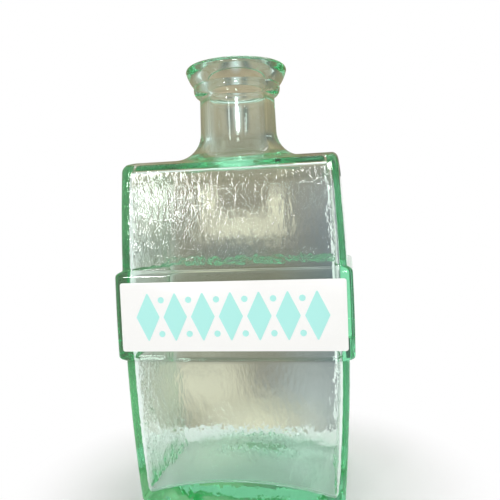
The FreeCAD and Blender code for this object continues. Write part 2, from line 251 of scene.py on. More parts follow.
class GlassForm:
    """Collects the rings of the bottle's surface, with the marks that the relief needs."""

    def __init__(self, sizes):
        self.sizes = sizes
        self.rings = []
        self.ripples = []
        self.waves = []
        self.half_width = sizes.belt_half_width - sizes.belt_raise
        self.half_depth = sizes.belt_half_depth - sizes.belt_raise
        self.crown_radius = (self.half_depth**2 + sizes.crown**2) / (2 * sizes.crown)
        self.wider = 0.0
        self.fade = corner_fade()
        self.guide = rounded_section(self.half_width, self.half_depth, sizes.edge)

    def add(self, points, heights, ripple=0.0, wave=0.0):
        count = len(points)
        self.rings.append(np.column_stack([points, np.broadcast_to(heights, count)]))
        self.ripples.append(np.broadcast_to(ripple, count))
        self.waves.append(np.broadcast_to(wave, count))

    def add_circle(self, radius, height, wave=0.0):
        self.add(round_section(self.guide, radius), height, wave=wave)

    def bow(self, level, outward):
        """Half the width between the flanks at a height, moved outward."""
        radius = self.sizes.bow_radius + outward + self.wider
        above = level - self.sizes.bow_level
        return self.half_width - self.sizes.bow_radius + np.sqrt(radius**2 - above**2)

    def crown(self, y):
        """Rise of the crowned roof over the shoulder's front edge."""
        radius = self.crown_radius
        return np.sqrt(radius**2 - y**2) - math.sqrt(radius**2 - self.half_depth**2)

    def section(self, level, outward, corner):
        """The body's section at a height, moved outward; negative is inward."""
        half_width = self.bow(level, outward)
        return rounded_section(half_width, self.half_depth + outward, corner)

    def add_wall(self, outward, inset, corner, nominal, heights, ripple=0.0, wave=0.0):
        """A ring on a wall at heights that vary round it, with the bow at each height."""
        points = rounded_section(
            self.bow(nominal, outward) - inset, self.half_depth + outward - inset, corner
        )
        wide = (self.bow(heights, outward) - inset) / (self.bow(nominal, outward) - inset)
        points = np.column_stack([points[:, 0] * wide, points[:, 1]])
        self.add(points, heights, ripple, wave)
        return points


def add_base(form):
    """The push-up under the base, the flat foot and the foot's rounded edge."""
    s = form.sizes
    dome = (s.kick_radius**2 + s.kick_rise**2) / (2 * s.kick_rise)
    for share in np.arange(1, 9) / 8:
        radius = s.kick_radius * share
        form.add_circle(radius, math.sqrt(dome**2 - radius**2) - (dome - s.kick_rise))
    foot = form.section(0.0, -s.edge, s.edge / 4)
    circle = round_section(form.guide, s.kick_radius)
    for share in np.arange(1, 6) / 6:
        form.add(circle * (1 - share) + foot * share, 0.0)
    for angle in np.arange(6) / 6 * math.pi / 2:
        inset = s.edge * (1 - math.sin(angle))
        corner = max(s.edge - inset, s.edge / 4)
        form.add(form.section(0.0, -inset, corner), s.edge * (1 - math.cos(angle)))


def panel_fade(shares, margin):
    """0 at both ends of a panel and 1 a margin away from them."""
    return np.clip(np.minimum(shares, 1 - shares) / margin, 0.0, 1.0)


def add_lower_panel(form):
    s = form.sizes
    shares = np.arange(LOWER_RINGS) / LOWER_RINGS
    for share, fade in zip(shares, panel_fade(shares, 0.06)):
        level = s.edge + (s.belt_low - s.belt_root - s.edge) * share
        form.add(form.section(level, 0.0, s.edge), level, ripple=fade * form.fade)


def add_belt(form):
    """The belt, from its hollow root below over its rounded edges to its root above."""
    s = form.sizes
    ledge = s.belt_raise - s.belt_edge
    half_turn = np.arange(5) / 4 * math.pi / 2
    lower = [(s.belt_root * (1 - math.cos(a)), -s.belt_root * (1 - math.sin(a))) for a in half_turn]
    root_out = min(s.belt_root, ledge + s.belt_root)
    profile = [(out * root_out / s.belt_root, s.belt_low + up) for out, up in lower]
    edge_centre = s.belt_raise - s.belt_edge
    start = max(math.asin(min((root_out - edge_centre) / s.belt_edge, 1.0)), 0.0)
    for angle in np.linspace(start, math.pi / 2, 6):
        out = edge_centre + s.belt_edge * math.sin(angle)
        profile.append((out, s.belt_low + s.belt_edge * (1 - math.cos(angle))))
    middle = (s.belt_low + s.belt_high) / 2
    mirrored = [(out, 2 * middle - level) for out, level in reversed(profile)]
    face = [(s.belt_raise, level) for level in np.linspace(profile[-1][1], mirrored[0][1], 10)[1:-1]]
    for out, level in profile + face + mirrored:
        corner = s.edge + (s.belt_edge - s.edge) * out / s.belt_raise
        form.add(form.section(level, out, corner), level)


def add_upper_panel(form):
    """The panel over the belt, up to the shoulder, whose height follows the crown."""
    s = form.sizes
    low = s.belt_high + s.belt_root
    shares = np.arange(1, UPPER_RINGS + 1) / UPPER_RINGS
    for share, fade in zip(shares, panel_fade(shares, 0.07)):
        nominal = low + (s.shoulder - s.edge - low) * share
        y = form.section(nominal, 0.0, s.edge)[:, 1]
        heights = nominal + form.crown(np.clip(y, -form.half_depth, form.half_depth)) * share
        form.add_wall(0.0, 0.0, s.edge, nominal, heights, ripple=fade * form.fade)


def add_shoulder(form):
    """The shoulder's rounded edge, its crowned top and the flare into the neck."""
    s = form.sizes
    for angle in np.arange(1, 6) / 6 * math.pi / 2:
        inset = s.edge * (1 - math.cos(angle))
        y = form.section(s.shoulder, -inset, s.edge)[:, 1]
        heights = s.shoulder + form.crown(y) - s.edge * (1 - math.sin(angle))
        form.add_wall(0.0, inset, max(s.edge - inset, s.edge / 4), s.shoulder, heights)
    top = form.section(s.shoulder, -s.edge, s.edge / 4)
    circle = round_section(form.guide, s.neck_foot + s.flare)
    for share in (np.arange(9) / 8)[:-1]:
        points = top * (1 - share) + circle * share
        form.add(points, s.shoulder + form.crown(points[:, 1]))
    for angle in np.arange(11) / 10 * math.pi / 2:
        points = round_section(form.guide, s.neck_foot + s.flare * (1 - math.sin(angle)))
        form.add(points, s.shoulder + form.crown(points[:, 1]) + s.flare * (1 - math.cos(angle)))


def add_neck_and_lip(form):
    """The neck, its bead, the funnel and the rounded lip."""
    s = form.sizes
    flare_top = s.shoulder + s.crown + s.flare
    for share in np.arange(1, 6) / 5:
        radius = s.neck_foot + (s.neck_radius - s.neck_foot) * share
        form.add_circle(radius, flare_top + (s.bead_foot - flare_top) * share)
    foot = (s.neck_radius, s.bead_foot)
    pinch = (s.pinch_radius, s.pinch_level)
    widest = (s.lip_radius, s.height - s.lip_round)
    top = (s.lip_radius - s.lip_round, s.height)
    outline = [
        profile_arc(foot, pinch, s.bead_round, 12),
        profile_arc(pinch, widest, s.funnel_round, 9),
        profile_arc(widest, top, s.lip_round, 8),
    ]
    for radius, height in np.vstack(outline):
        form.add_circle(radius, height)


def add_mouth_and_bore(form):
    """The mouth's rounded inner edge, its curved wall, the straight bore and the inner flare."""
    s = form.sizes
    lead = (s.lip_radius - s.lip_round - s.mouth_radius) / 2
    inner = (s.mouth_radius, s.height - lead)
    straight = (s.bore, s.height - s.mouth_depth)
    outline = [
        profile_arc((s.mouth_radius + lead, s.height), inner, lead, 4),
        profile_arc(inner, straight, s.mouth_round, 10, centre_on_left=True),
    ]
    for radius, height in np.vstack(outline):
        form.add_circle(radius, height, wave=0.15)
    roof = s.shoulder - s.roof_wall
    bore_foot = roof + s.crown + s.inner_flare
    for share in np.arange(1, 4) / 4:
        form.add_circle(s.bore, straight[1] + (bore_foot - straight[1]) * share, wave=0.3)
    for angle in np.arange(9) / 8 * math.pi / 2:
        points = round_section(form.guide, s.bore + s.inner_flare * (1 - math.cos(angle)))
        form.add(points, roof + form.crown(points[:, 1]) + s.inner_flare * (1 - math.sin(angle)), wave=0.4)


def add_cavity(form):
    """The cavity's roof, rounded edges and walls, and its arched floor."""
    s = form.sizes
    roof = s.shoulder - s.roof_wall
    inward = -s.front_wall
    form.wider = s.front_wall - s.side_wall
    top = form.section(roof, inward - s.inner_edge, s.inner_edge / 4)
    circle = round_section(form.guide, s.bore + s.inner_flare)
    for share in np.arange(1, 7) / 7:
        points = circle * (1 - share) + top * share
        form.add(points, roof + form.crown(points[:, 1]), wave=0.6)
    for angle in np.arange(6) / 6 * math.pi / 2:
        inset = s.inner_edge * (1 - math.sin(angle))
        y = form.section(roof, inward - inset, s.inner_edge)[:, 1]
        heights = roof + form.crown(y) - s.inner_edge * (1 - math.cos(angle))
        form.add_wall(inward, inset, max(s.inner_edge - inset, s.inner_edge / 4), roof, heights, wave=0.8)

    foot_half = form.bow(s.floor_level, inward)
    arch_radius = (foot_half**2 + s.floor_arch**2) / (2 * s.floor_arch)

    def floor_height(x):
        return s.floor_level + np.sqrt(arch_radius**2 - x**2) - (arch_radius - s.floor_arch)

    for share in np.arange(1, INNER_RINGS + 1) / INNER_RINGS:
        nominal = roof - s.inner_edge + (s.floor_level + s.inner_edge - roof + s.inner_edge) * share
        points = form.section(nominal, inward, s.inner_edge)
        upper = roof + form.crown(points[:, 1]) - s.inner_edge
        lower = floor_height(np.clip(points[:, 0], -foot_half, foot_half)) + s.inner_edge
        form.add_wall(inward, 0.0, s.inner_edge, nominal, upper * (1 - share) + lower * share, wave=1.0)
    for angle in np.arange(1, 7) / 6 * math.pi / 2:
        inset = s.inner_edge * (1 - math.cos(angle))
        points = form.section(s.floor_level, inward - inset, max(s.inner_edge - inset, s.inner_edge / 4))
        form.add(points, floor_height(points[:, 0]) + s.inner_edge * (1 - math.sin(angle)), wave=0.6)
    rim = form.section(s.floor_level, inward - s.inner_edge, s.inner_edge / 4)
    for share in np.arange(1, 10) / 10:
        points = rim * (1 - share)
        form.add(points, floor_height(points[:, 0]), wave=0.6)
    return float(floor_height(np.zeros(1))[0])


def ring_mesh(form, first_pole, last_pole):
    """Vertices and faces of the closed skin between two poles."""
    count = len(form.rings[0])
    vertices = np.vstack([[first_pole], *form.rings, [last_pole]])
    step = np.arange(count)
    following = (step + 1) % count
    faces = []
    first_ring = 1 + step
    faces += [(0, 1 + b, 1 + a) for a, b in zip(step, following)]
    for ring in range(len(form.rings) - 1):
        low = first_ring + ring * count
        high = low + count
        faces += list(zip(low, low[following], high[following], high))
    last = len(vertices) - 1
    start = 1 + (len(form.rings) - 1) * count
    faces += [(start + a, start + b, last) for a, b in zip(step, following)]
    return vertices, [tuple(int(i) for i in face) for face in faces]


# Node trees

MARK_TURN = math.radians(28)
RELIEF_SEED = 3.0
LOZENGE_CORNER = 0.45 * MM
WELD_DISTANCE = MM / 200


class NodeMaker:
    """Adds nodes to a tree and joins them, in the order they are written."""

    def __init__(self, tree):
        self.tree = tree

    def node(self, kind, settings=None, **sockets):
        """A node with its settings, and its input sockets set or joined by name."""
        node = self.tree.nodes.new(kind)
        for key, value in (settings or {}).items():
            setattr(node, key, value)
        for key, value in sockets.items():
            self.feed(node, key.replace("_", " "), value)
        return node

    def feed(self, node, key, value):
        """Sets an input socket, given by name or number, or joins it to another node's output."""
        socket = node.inputs[key]
        if isinstance(value, bpy.types.NodeSocket):
            self.tree.links.new(value, socket)
        else:
            socket.default_value = value

    def math(self, operation, *values):
        node = self.tree.nodes.new("ShaderNodeMath")
        node.operation = operation
        for number, value in enumerate(values):
            self.feed(node, number, value)
        return node.outputs[0]


class TreeMaker(NodeMaker):
    """A geometry tree with one geometry in, one out and named inputs."""

    def __init__(self, name):
        super().__init__(bpy.data.node_groups.new(name, "GeometryNodeTree"))
        self.tree.interface.new_socket("Geometry", in_out="INPUT", socket_type="NodeSocketGeometry")
        self.tree.interface.new_socket("Geometry", in_out="OUTPUT", socket_type="NodeSocketGeometry")
        self.inputs = self.tree.nodes.new("NodeGroupInput")
        self.output = self.tree.nodes.new("NodeGroupOutput")

    def input(self, name, kind):
        self.tree.interface.new_socket(name, in_out="INPUT", socket_type=f"NodeSocket{kind}")
        return self.inputs.outputs[name]

    def vector(self, operation, *values):
        node = self.tree.nodes.new("ShaderNodeVectorMath")
        node.operation = operation
        for number, value in enumerate(values):
            self.feed(node, "Scale" if operation == "SCALE" and number == 1 else number, value)
        return node.outputs[0]

    def finish(self, geometry, material):
        """Ends the tree in plain geometry with its material."""
        real = self.node("GeometryNodeRealizeInstances", Geometry=geometry)
        dressed = self.node("GeometryNodeSetMaterial", Geometry=real.outputs[0], Material=material)
        self.tree.links.new(dressed.outputs[0], self.output.inputs[0])
        return self.tree


def apply_tree(piece, tree, values):
    """Runs a tree on a piece with these inputs and keeps the result as its plain mesh."""
    modifier = piece.modifiers.new(tree.name, "NODES")
    modifier.node_group = tree
    sockets = {i.name: i.identifier for i in tree.interface.items_tree if i.in_out == "INPUT"}
    for name, value in values.items():
        modifier[sockets[name]] = value
    depsgraph = bpy.context.evaluated_depsgraph_get()
    result = bpy.data.meshes.new_from_object(piece.evaluated_get(depsgraph))
    piece.modifiers.remove(modifier)
    old = piece.data
    piece.data = result
    bpy.data.meshes.remove(old)
    result.name = piece.name
    if not result.polygons:
        raise RuntimeError(f"{tree.name} made no faces")
    result.polygons.foreach_set("use_smooth", [True] * len(result.polygons))


def hammered_tree():
    """Moves marked points along their normals: hammer marks outside, slow waves inside."""
    maker = TreeMaker("hammered_glass")
    ripple_height = maker.input("Ripple Height", "Float")
    ripple_size = maker.input("Ripple Size", "Float")
    wave_height = maker.input("Wave Height", "Float")
    wave_size = maker.input("Wave Size", "Float")
    seed = maker.input("Seed", "Float")
    material = maker.input("Material", "Material")
    place = maker.node("GeometryNodeInputPosition").outputs[0]
    turned = maker.node(
        "ShaderNodeVectorRotate", {"rotation_type": "Y_AXIS"}, Vector=place, Angle=MARK_TURN
    )
    streaked = maker.vector("MULTIPLY", turned.outputs[0], (1.0, 1.0, 0.55))

    def relief(vector, size, height, attribute, detail):
        scale = maker.math("DIVIDE", 1.0, size)
        noise = maker.node(
            "ShaderNodeTexNoise", {"noise_dimensions": "4D"},
            Vector=vector, W=seed, Scale=scale, Detail=detail, Roughness=0.55,
        )
        centred = maker.math("SUBTRACT", noise.outputs[0], 0.5)
        mark = maker.node("GeometryNodeInputNamedAttribute", {"data_type": "FLOAT"}, Name=attribute)
        scaled = maker.math("MULTIPLY", centred, maker.math("MULTIPLY", height, 2.0))
        return maker.math("MULTIPLY", scaled, mark.outputs[0])

    marks = relief(streaked, ripple_size, ripple_height, "ripple", 1.0)
    waves = relief(place, wave_size, wave_height, "wave", 1.5)
    normal = maker.node("GeometryNodeInputNormal").outputs[0]
    offset = maker.vector("SCALE", normal, maker.math("ADD", marks, waves))
    moved = maker.node("GeometryNodeSetPosition", Geometry=maker.inputs.outputs[0], Offset=offset)
    return maker.finish(moved.outputs[0], material)


def enamel_field(maker, outline, thickness, rim):
    """A closed enamel layer from an outline in the XY plane, its upper edge softened."""
    face = maker.node("GeometryNodeFillCurve", {"mode": "NGONS"}, Curve=outline).outputs[0]
    wall = maker.node(
        "GeometryNodeExtrudeMesh", Mesh=face, Offset_Scale=maker.math("SUBTRACT", thickness, rim),
        Individual=False,
    )
    brow = maker.node(
        "GeometryNodeExtrudeMesh", Mesh=wall.outputs[0], Selection=wall.outputs["Top"],
        Offset_Scale=rim, Individual=False,
    )
    inset = maker.node(
        "GeometryNodeScaleElements", Geometry=brow.outputs[0], Selection=brow.outputs["Top"], Scale=0.985
    )
    back = maker.node("GeometryNodeFlipFaces", Mesh=face)
    joined = maker.node("GeometryNodeJoinGeometry")
    maker.tree.links.new(inset.outputs[0], joined.inputs[0])
    maker.tree.links.new(back.outputs[0], joined.inputs[0])
    welded = maker.node(
        "GeometryNodeMergeByDistance", Geometry=joined.outputs[0], Distance=WELD_DISTANCE
    )
    return welded.outputs[0]


def row_tree(name, outline_of):
    """A row of like enamel fields on the label, from the outline that outline_of draws."""
    maker = TreeMaker(name)
    count = maker.input("Count", "Int")
    pitch = maker.input("Pitch", "Float")
    start = maker.input("Start", "Vector")
    thickness = maker.input("Thickness", "Float")
    rim = maker.input("Rim", "Float")
    outline = outline_of(maker)
    material = maker.input("Material", "Material")
    field = enamel_field(maker, outline, thickness, rim)
    upright = maker.node("GeometryNodeTransform", Geometry=field, Rotation=(math.pi / 2, 0.0, 0.0))
    step = maker.node("ShaderNodeCombineXYZ", X=pitch)
    row = maker.node(
        "GeometryNodeMeshLine", {"mode": "OFFSET"}, Count=count, Start_Location=start, Offset=step.outputs[0]
    )
    copies = maker.node(
        "GeometryNodeInstanceOnPoints", Points=row.outputs[0], Instance=upright.outputs[0]
    )
    return maker.finish(copies.outputs[0], material)


def lozenge_outline(maker):
    """A lozenge with slightly rounded points."""
    width = maker.input("Width", "Float")
    height = maker.input("Height", "Float")
    half = maker.math("MULTIPLY", height, 0.5)
    shape = maker.node(
        "GeometryNodeCurvePrimitiveQuadrilateral", {"mode": "KITE"},
        Width=width, Bottom_Height=half, Top_Height=half,
    )
    return maker.node(
        "GeometryNodeFilletCurve", {"mode": "POLY"}, Curve=shape.outputs[0], Count=5, Radius=LOZENGE_CORNER
    ).outputs[0]


def dot_outline(maker):
    """A round dot."""
    radius = maker.input("Radius", "Float")
    circle = maker.node("GeometryNodeCurvePrimitiveCircle", Resolution=40, Radius=radius)
    return circle.outputs[0]


# Materials

ENAMEL_IOR = 1.5
ENAMEL_PEEL = 0.05 * MM
WHITE_CLOUDING = 0.03
TURQUOISE_CLOUDING = 0.10
ENAMEL_RIM_SHARE = 0.4
GLASS_IOR = 1.52
FINE_MARK_SCALE = 480.0
FINE_MARK_HEIGHT = 0.34 * MM


def new_material(name):
    material = bpy.data.materials.new(name)
    material.use_nodes = True
    material.node_tree.nodes.clear()
    maker = NodeMaker(material.node_tree)
    return material, maker, maker.node("ShaderNodeOutputMaterial")


def enamel_group():
    """Fired enamel: faint clouding, uneven gloss and the fine peel of a fired surface."""
    group = bpy.data.node_groups.get("fired_enamel")
    if group:
        return group
    group = bpy.data.node_groups.new("fired_enamel", "ShaderNodeTree")
    for name, kind in (("Colour", "NodeSocketColor"), ("Clouding", "NodeSocketFloat")):
        group.interface.new_socket(name, in_out="INPUT", socket_type=kind)
    for name, kind in (
        ("Colour", "NodeSocketColor"),
        ("Roughness", "NodeSocketFloat"),
        ("Peel", "NodeSocketFloat"),
    ):
        group.interface.new_socket(name, in_out="OUTPUT", socket_type=kind)
    maker = NodeMaker(group)
    inputs = maker.node("NodeGroupInput")
    output = maker.node("NodeGroupOutput")
    place = maker.node("ShaderNodeTexCoord").outputs["Object"]
    clouds = maker.node("ShaderNodeTexNoise", Vector=place, Scale=55.0, Detail=3.0)
    grain = maker.node("ShaderNodeTexNoise", Vector=place, Scale=1400.0, Detail=2.0)
    peel = maker.node("ShaderNodeTexNoise", Vector=place, Scale=420.0, Detail=1.0)
    depth = maker.math("MULTIPLY", clouds.outputs[0], inputs.outputs["Clouding"])
    dark = maker.math("SUBTRACT", 1.0, depth)
    tinted = maker.node("ShaderNodeVectorMath", {"operation": "SCALE"}, Scale=dark)
    maker.feed(tinted, 0, inputs.outputs["Colour"])
    maker.tree.links.new(tinted.outputs[0], output.inputs["Colour"])
    rough = maker.node("ShaderNodeMapRange", Value=grain.outputs[0], To_Min=0.14, To_Max=0.34)
    maker.tree.links.new(rough.outputs[0], output.inputs["Roughness"])
    maker.tree.links.new(peel.outputs[0], output.inputs["Peel"])
    return group


def enamel_material(name, rgb, clouding):
    material, maker, output = new_material(name)
    fired = maker.node("ShaderNodeGroup", {"node_tree": enamel_group()})
    maker.feed(fired, "Colour", (*rgb, 1.0))
    maker.feed(fired, "Clouding", clouding)
    bump = maker.node("ShaderNodeBump", Height=fired.outputs["Peel"], Strength=0.12, Distance=ENAMEL_PEEL)
    shader = maker.node(
        "ShaderNodeBsdfPrincipled",
        Base_Color=fired.outputs["Colour"],
        Roughness=fired.outputs["Roughness"],
        Normal=bump.outputs[0],
        IOR=ENAMEL_IOR,
    )
    maker.tree.links.new(shader.outputs[0], output.inputs["Surface"])
    return material


def glass_material(finish):
    """Clear glass whose green shows where it is thick, with fine marks on the hammered panels."""
    material, maker, output = new_material("green_glass")
    place = maker.node("ShaderNodeTexCoord").outputs["Object"]
    mark = maker.node("ShaderNodeAttribute", {"attribute_name": "ripple"}).outputs["Fac"]
    turned = maker.node(
        "ShaderNodeMapping", Vector=place, Rotation=(0.0, MARK_TURN, 0.0), Scale=(1.0, 1.0, 0.45)
    )
    fine = maker.node("ShaderNodeTexNoise", Vector=turned.outputs[0], Scale=FINE_MARK_SCALE, Detail=2.0)
    height = maker.math("MULTIPLY", fine.outputs[0], mark)
    bump = maker.node("ShaderNodeBump", Height=height, Strength=1.0, Distance=FINE_MARK_HEIGHT)
    film = maker.node("ShaderNodeTexNoise", Vector=place, Scale=90.0, Detail=4.0)
    rough = maker.node("ShaderNodeMapRange", Value=film.outputs[0], To_Min=0.0, To_Max=0.03)
    shader = maker.node(
        "ShaderNodeBsdfPrincipled",
        Base_Color=(1.0, 1.0, 1.0, 1.0),
        Roughness=rough.outputs[0],
        IOR=GLASS_IOR,
        Transmission_Weight=1.0,
        Normal=bump.outputs[0],
    )
    tint = maker.node(
        "ShaderNodeVolumeAbsorption", Color=(*finish.glass_tint, 1.0), Density=finish.glass_depth
    )
    maker.tree.links.new(shader.outputs[0], output.inputs["Surface"])
    maker.tree.links.new(tint.outputs[0], output.inputs["Volume"])
    return material


# Operators


class BOTTLE_OT_glass(bpy.types.Operator):
    """Build the moulded glass bottle with its hammered panels"""

    bl_idname = "bottle.glass"
    bl_label = "Glass Bottle"

    def execute(self, context):
        sizes = context.scene.bottle_sizes
        form = GlassForm(sizes)
        add_base(form)
        add_lower_panel(form)
        add_belt(form)
        add_upper_panel(form)
        add_shoulder(form)
        add_neck_and_lip(form)
        add_mouth_and_bore(form)
        floor_top = add_cavity(form)
        vertices, faces = ring_mesh(form, (0.0, 0.0, sizes.kick_rise), (0.0, 0.0, floor_top))
        piece = mesh_object("moulded_glass", vertices, faces)
        for name, marks in (("ripple", form.ripples), ("wave", form.waves)):
            attribute = piece.data.attributes.new(name, "FLOAT", "POINT")
            attribute.data.foreach_set("value", np.concatenate([[0.0], *marks, [0.0]]))
        apply_tree(
            piece,
            hammered_tree(),
            {
                "Ripple Height": sizes.ripple_height,
                "Ripple Size": sizes.ripple_size,
                "Wave Height": sizes.wave_height,
                "Wave Size": sizes.wave_size,
                "Seed": RELIEF_SEED,
                "Material": glass_material(context.scene.bottle_finish),
            },
        )
        settle(piece, "glass_bottle")
        return {"FINISHED"}


class BOTTLE_OT_label_ground(bpy.types.Operator):
    """Build the white enamel panel on the belt"""

    bl_idname = "bottle.label_ground"
    bl_label = "Label Ground"

    def execute(self, context):
        label = context.scene.bottle_label
        half_width = (GROUND_HIGH.x - GROUND_LOW.x) / 2
        half_height = (GROUND_HIGH.z - GROUND_LOW.z) / 2
        middle = (GROUND_HIGH.z + GROUND_LOW.z) / 2
        rim = label.rim
        steps = [(0.0, GROUND_HIGH.y), (0.0, GROUND_LOW.y + rim)]
        for angle in np.arange(1, 4) / 3 * math.pi / 2:
            steps.append((rim * (1 - math.cos(angle)), GROUND_LOW.y + rim * (1 - math.sin(angle))))
        vertices = []
        for inset, y in steps:
            section = rounded_section(half_width - inset, half_height - inset, label.corner - inset)
            vertices += [(x, y, middle + up) for x, up in section]
        count = len(vertices) // len(steps)
        faces = [tuple(reversed(range(count)))]
        for ring in range(len(steps) - 1):
            low = ring * count
            faces += [
                (low + a, low + (a + 1) % count, low + count + (a + 1) % count, low + count + a)
                for a in range(count)
            ]
        faces.append(tuple(range(len(vertices) - count, len(vertices))))
        piece = mesh_object("enamel_ground", vertices, faces)
        piece.data.materials.append(
            enamel_material("white_enamel", context.scene.bottle_finish.white, WHITE_CLOUDING)
        )
        settle(piece, "label_ground")
        return {"FINISHED"}


def build_row(context, name, node, tree, rows, extra, low, high):
    """One piece of turquoise enamel from one or more rows of like fields."""
    thickness = high.y - low.y
    material = bpy.data.materials.get("turquoise_enamel") or enamel_material(
        "turquoise_enamel", context.scene.bottle_finish.turquoise, TURQUOISE_CLOUDING
    )
    vertices, faces = [], []
    for count, pitch, start_x, level in rows:
        piece = mesh_object(name, [(0, 0, 0)], [])
        values = {
            "Count": count,
            "Pitch": pitch,
            "Start": (start_x, high.y, level),
            "Thickness": thickness,
            "Rim": thickness * ENAMEL_RIM_SHARE,
            "Material": material,
        }
        apply_tree(piece, tree, {**values, **extra})
        base = len(vertices)
        vertices += [v.co.copy() for v in piece.data.vertices]
        faces += [tuple(base + i for i in p.vertices) for p in piece.data.polygons]
        bpy.data.objects.remove(piece)
    whole = mesh_object(name, vertices, faces)
    whole.data.polygons.foreach_set("use_smooth", [False] * len(faces))
    whole.data.materials.append(material)
    settle(whole, node)


class BOTTLE_OT_lozenges(bpy.types.Operator):
    """Build the row of turquoise lozenges"""

    bl_idname = "bottle.lozenges"
    bl_label = "Label Lozenges"

    def execute(self, context):
        label = context.scene.bottle_label
        first = ROW_LOW.x + label.lozenge_width / 2
        pitch = (ROW_HIGH.x - ROW_LOW.x - label.lozenge_width) / (label.count - 1)
        level = (ROW_HIGH.z + ROW_LOW.z) / 2
        build_row(
            context,
            "enamel_lozenges",
            "label_lozenges",
            row_tree("lozenge_row", lozenge_outline),
            [(label.count, pitch, first, level)],
            {"Width": label.lozenge_width, "Height": label.lozenge_height},
            ROW_LOW,
            ROW_HIGH,
        )
        return {"FINISHED"}


class BOTTLE_OT_dots(bpy.types.Operator):
    """Build the turquoise dots between the lozenges"""

    bl_idname = "bottle.dots"
    bl_label = "Label Dots"

    def execute(self, context):
        label = context.scene.bottle_label
        radius = label.dot_radius
        first = DOTS_LOW.x + radius
        pitch = (DOTS_HIGH.x - DOTS_LOW.x - 2 * radius) / (label.count - 2)
        rows = [
            (label.count - 1, pitch, first, DOTS_LOW.z + radius),
            (label.count - 1, pitch, first, DOTS_HIGH.z - radius),
        ]
        build_row(
            context,
            "enamel_dots",
            "label_dots",
            row_tree("dot_row", dot_outline),
            rows,
            {"Radius": radius},
            DOTS_LOW,
            DOTS_HIGH,
        )
        return {"FINISHED"}


# The stage

LIGHT_BOUNCES = 32
GLOSS_BLUR = 0.3
SOFT_LIGHT = 0.52
FLOOR_HALF = 4.0
FLOOR_DROP = 0.3 * MM
FLOOR_FADE_FROM = 0.06
FLOOR_FADE_TO = 0.13
LAMP_AIM = (0.0, 0.0, 0.11)
# Lamps: name, place, width, height and power in watts.
LAMPS = (
    ("left_softbox", (-0.34, -0.86, 0.245), 0.08, 0.22, 1.5),
    ("front_strip", (0.10, -0.76, 0.33), 0.12, 0.20, 1.5),
    ("back_softbox", (0.10, 0.50, 0.75), 0.5, 0.4, 2.5),
)
CARD_REACH = 0.30
CARD_BACK = 0.02
CARD_BOW = 0.05
CARD_RAMP_FROM = -0.10
CARD_RAMP_TO = 0.05
# Strips of the card: first and last turn in degrees, lower and upper edge.
CARD_STRIPS = (
    (-18, 9, 0.001, 0.165),
    (-100, 100, 0.165, 0.33),
    (-100, -36, 0.04, 0.165),
    (27, 100, 0.04, 0.165),
)
# Painted glow: the bright cream light that the glass shows in both panels.
CREAM_PAINTED_GLOW = (1.05, 0.94, 0.70, 1.0)
# Painted reflection: the warm beige of a room, seen round the neck.
WARM_PAINTED_REFLECTION = (0.66, 0.52, 0.34, 1.0)
# Painted light: a paler patch low on the right.
PALE_PAINTED_LIGHT = (0.50, 0.53, 0.53, 1.0)
# Painted highlight: the bluish white streak down the neck.
SKY_PAINTED_HIGHLIGHT = (1.0, 1.08, 1.10, 1.0)
# Painted shade: dark streaks beside the neck's painted highlight and a dark band over the belt.
DUSK_PAINTED_SHADE = (0.17, 0.18, 0.15, 1.0)
# Painted highlights, glows and shade on the card, which the glass shows: middle in x and z, reach across and
# up, tone.
PAINTED_LIGHT_PATCHES = (
    (0.0, 0.26, 0.60, 0.14, WARM_PAINTED_REFLECTION),
    (0.10, 0.23, 0.12, 0.07, WARM_PAINTED_REFLECTION),
    # Painted shade either side of the neck's painted highlight, then the highlight itself.
    (-0.022, 0.207, 0.009, 0.030, DUSK_PAINTED_SHADE),
    (-0.004, 0.205, 0.007, 0.030, DUSK_PAINTED_SHADE),
    (-0.013, 0.210, 0.007, 0.032, SKY_PAINTED_HIGHLIGHT),
    (0.03, 0.02, 0.05, 0.05, PALE_PAINTED_LIGHT),
    (-0.013, 0.134, 0.045, 0.018, CREAM_PAINTED_GLOW),
    (-0.035, 0.150, 0.010, 0.028, CREAM_PAINTED_GLOW),
    (0.010, 0.145, 0.010, 0.026, CREAM_PAINTED_GLOW),
    (-0.016, 0.119, 0.045, 0.016, DUSK_PAINTED_SHADE),
    (-0.045, 0.030, 0.050, 0.035, CREAM_PAINTED_GLOW),
    (-0.010, 0.004, 0.060, 0.030, CREAM_PAINTED_GLOW),
)


def seen_directly(maker):
    """1 for rays from the camera, off gloss and through glass, which see a white background."""
    path = maker.node("ShaderNodeLightPath").outputs
    seen = maker.math("MAXIMUM", path["Is Camera Ray"], path["Is Glossy Ray"])
    return maker.math("MAXIMUM", seen, path["Is Transmission Ray"])


def add_world():
    world = bpy.data.worlds.new("studio")
    bpy.context.scene.world = world
    world.use_nodes = True
    world.node_tree.nodes.clear()
    maker = NodeMaker(world.node_tree)
    soft = maker.node("ShaderNodeBackground", Color=(1.0, 0.99, 0.97, 1.0), Strength=SOFT_LIGHT)
    white = maker.node("ShaderNodeBackground", Color=(1.0, 1.0, 1.0, 1.0), Strength=1.0)
    mix = maker.node("ShaderNodeMixShader", Fac=seen_directly(maker))
    maker.feed(mix, 1, soft.outputs[0])
    maker.feed(mix, 2, white.outputs[0])
    output = maker.node("ShaderNodeOutputWorld")
    maker.tree.links.new(mix.outputs[0], output.inputs["Surface"])


